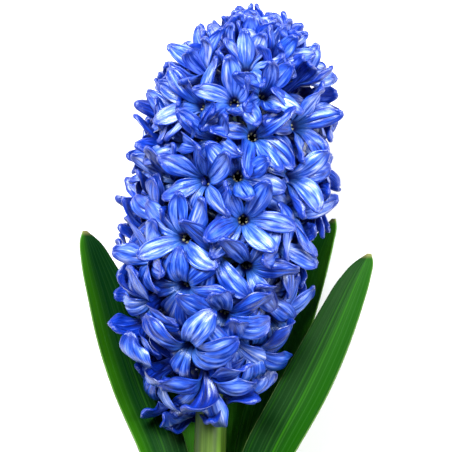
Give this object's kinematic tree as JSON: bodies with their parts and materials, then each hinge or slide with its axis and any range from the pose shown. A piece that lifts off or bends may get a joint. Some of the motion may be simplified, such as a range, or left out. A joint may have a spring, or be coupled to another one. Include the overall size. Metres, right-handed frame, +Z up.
{
  "type": "hyacinth flower",
  "caption": "Cut hyacinth lying down: a dense head of recurved blue star florets on a thick fleshy stem, with upright strap leaves round its foot.",
  "frame": {"origin": "centre of the bounding box's base, on the surface that the flower lies on", "axes": "+Z up from the surface, +Y along the stem from its cut end towards the tip of the head, +X to the flower's right when it is looked at from above with its head away from the viewer"},
  "size_m": [0.1095, 0.2354, 0.0852],
  "materials": {
    "petals": "waxy petal, satin",
    "stem": "smooth fleshy stem, satin",
    "leaf": "smooth strap leaf, semi-gloss"
  },
  "bodies": {
    "root": {"flower_head": "petals", "stem": "stem", "leaf_left": "leaf", "leaf_right_front": "leaf", "leaf_right_back": "leaf", "leaf_back_left": "leaf", "leaf_back_right": "leaf"}
  },
  "joints": []
}
